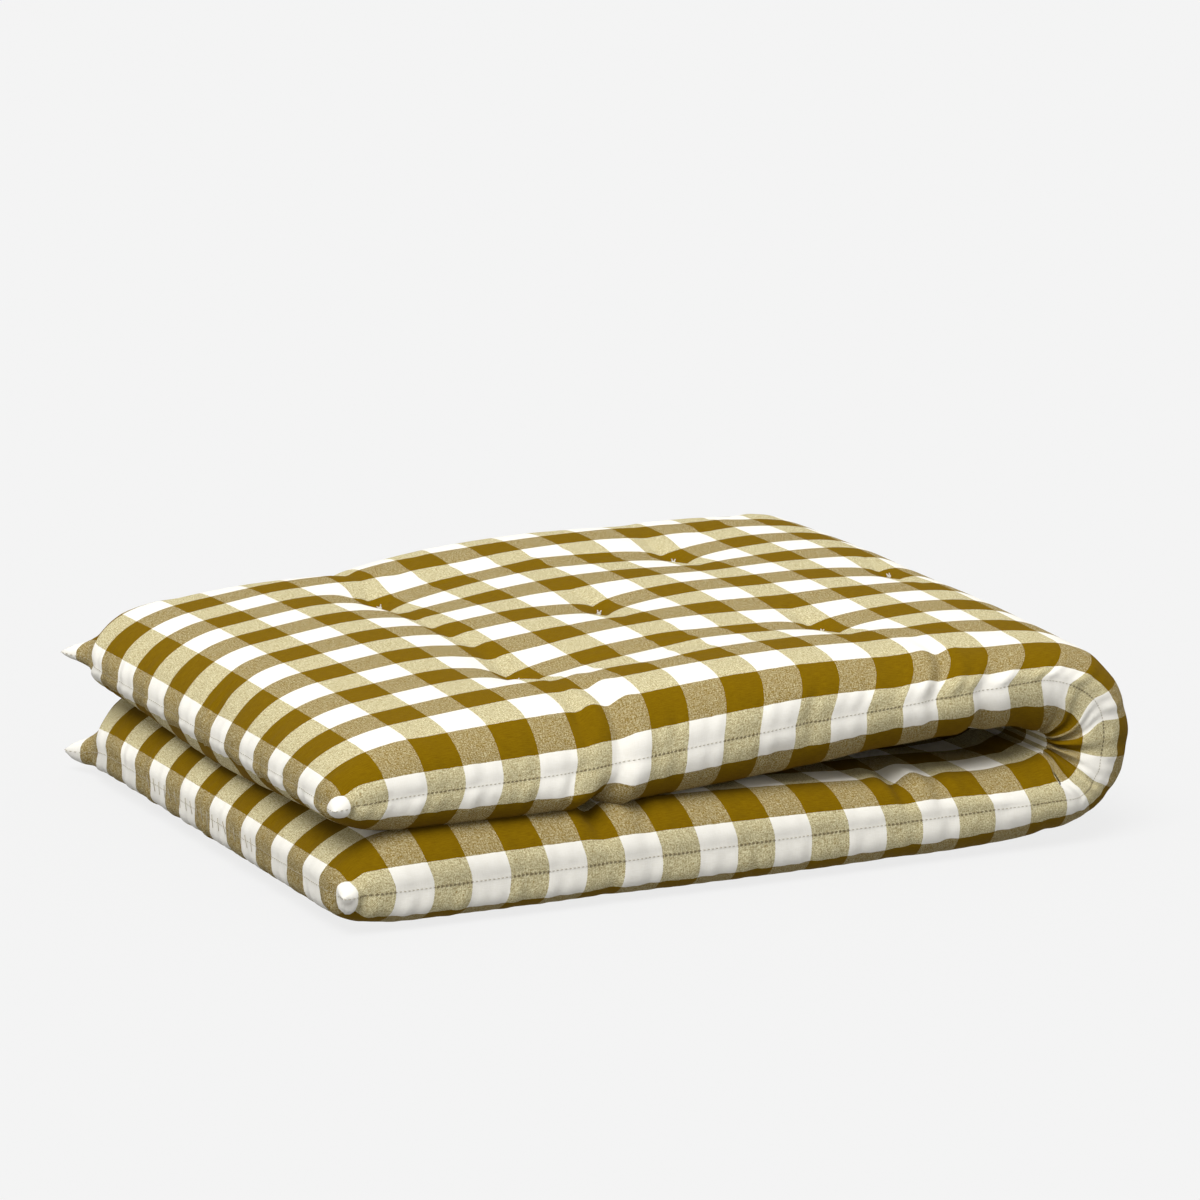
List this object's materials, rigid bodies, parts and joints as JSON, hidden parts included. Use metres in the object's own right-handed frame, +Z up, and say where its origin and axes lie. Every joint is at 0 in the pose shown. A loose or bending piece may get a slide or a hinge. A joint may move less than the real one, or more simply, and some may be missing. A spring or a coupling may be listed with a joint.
{
  "type": "futon mattress",
  "caption": "Tufted cotton futon mattress in a woven check cover, folded in half once, with pinched corners and a stitched side seam.",
  "frame": {"origin": "middle of the footprint, on the surface that the mattress lies on", "axes": "+X along the folded mattress from its open end to the fold, +Y across it, +Z up"},
  "size_m": [0.7962, 0.6552, 0.186],
  "materials": {
    "cover_cloth": "matt yarn-dyed cotton in an olive and cream check",
    "cover_edge": "matt cotton, seam allowance",
    "cotton_batting": "loose felted cotton",
    "twine": "matt cotton twine"
  },
  "bodies": {
    "lower_half": {"closing_stitches": "twine", "lower_batting_1": "cotton_batting", "lower_batting_2": "cotton_batting", "lower_batting_3": "cotton_batting", "lower_batting_4": "cotton_batting", "lower_batting_5": "cotton_batting", "lower_inner_panel": "cover_cloth", "lower_outer_panel": "cover_cloth", "lower_seam_allowance": "cover_edge", "lower_tuft_1": "twine", "lower_tuft_2": "twine", "lower_tuft_3": "twine", "lower_tuft_4": "twine", "lower_tuft_5": "twine", "lower_tuft_6": "twine"},
    "fold_1": {"fold_1_batting": "cotton_batting", "fold_1_inner_panel": "cover_cloth", "fold_1_outer_panel": "cover_cloth", "fold_1_seam_allowance": "cover_edge"},
    "fold_2": {"fold_2_batting": "cotton_batting", "fold_2_inner_panel": "cover_cloth", "fold_2_outer_panel": "cover_cloth", "fold_2_seam_allowance": "cover_edge"},
    "fold_3": {"fold_3_batting": "cotton_batting", "fold_3_inner_panel": "cover_cloth", "fold_3_outer_panel": "cover_cloth", "fold_3_seam_allowance": "cover_edge", "fold_3_tuft_1": "twine", "fold_3_tuft_2": "twine"},
    "fold_4": {"fold_4_batting": "cotton_batting", "fold_4_inner_panel": "cover_cloth", "fold_4_outer_panel": "cover_cloth", "fold_4_seam_allowance": "cover_edge"},
    "fold_5": {"fold_5_batting": "cotton_batting", "fold_5_inner_panel": "cover_cloth", "fold_5_outer_panel": "cover_cloth", "fold_5_seam_allowance": "cover_edge"},
    "upper_half": {"upper_batting_1": "cotton_batting", "upper_batting_2": "cotton_batting", "upper_batting_3": "cotton_batting", "upper_batting_4": "cotton_batting", "upper_batting_5": "cotton_batting", "upper_inner_panel": "cover_cloth", "upper_outer_panel": "cover_cloth", "upper_seam_allowance": "cover_edge", "upper_tuft_1": "twine", "upper_tuft_2": "twine", "upper_tuft_3": "twine", "upper_tuft_4": "twine", "upper_tuft_5": "twine", "upper_tuft_6": "twine"}
  },
  "joints": [
    {"name": "fold_hinge_1", "type": "hinge", "parent": "lower_half", "child": "fold_1", "pos_m": [0.3045, 0, 0], "axis": [0, 1, 0], "range_deg": [0, 18]},
    {"name": "fold_hinge_2", "type": "hinge", "parent": "fold_1", "child": "fold_2", "pos_m": [0.35916, 0, 0.01776], "axis": [0, 1, 0], "range_deg": [0, 36]},
    {"name": "fold_hinge_3", "type": "hinge", "parent": "fold_2", "child": "fold_3", "pos_m": [0.39295, 0, 0.06426], "axis": [0, 1, 0], "range_deg": [0, 36]},
    {"name": "fold_hinge_4", "type": "hinge", "parent": "fold_3", "child": "fold_4", "pos_m": [0.39295, 0, 0.12174], "axis": [0, 1, 0], "range_deg": [0, 36]},
    {"name": "fold_hinge_5", "type": "hinge", "parent": "fold_4", "child": "fold_5", "pos_m": [0.35916, 0, 0.16824], "axis": [0, 1, 0], "range_deg": [0, 36]},
    {"name": "fold_hinge_6", "type": "hinge", "parent": "fold_5", "child": "upper_half", "pos_m": [0.3045, 0, 0.186], "axis": [0, 1, 0], "range_deg": [0, 18]}
  ],
  "couplings": [
    {"joint": "fold_hinge_2", "follows": "fold_hinge_1", "ratio": 2},
    {"joint": "fold_hinge_3", "follows": "fold_hinge_1", "ratio": 2},
    {"joint": "fold_hinge_4", "follows": "fold_hinge_1", "ratio": 2},
    {"joint": "fold_hinge_5", "follows": "fold_hinge_1", "ratio": 2},
    {"joint": "fold_hinge_6", "follows": "fold_hinge_1", "ratio": 1}
  ]
}
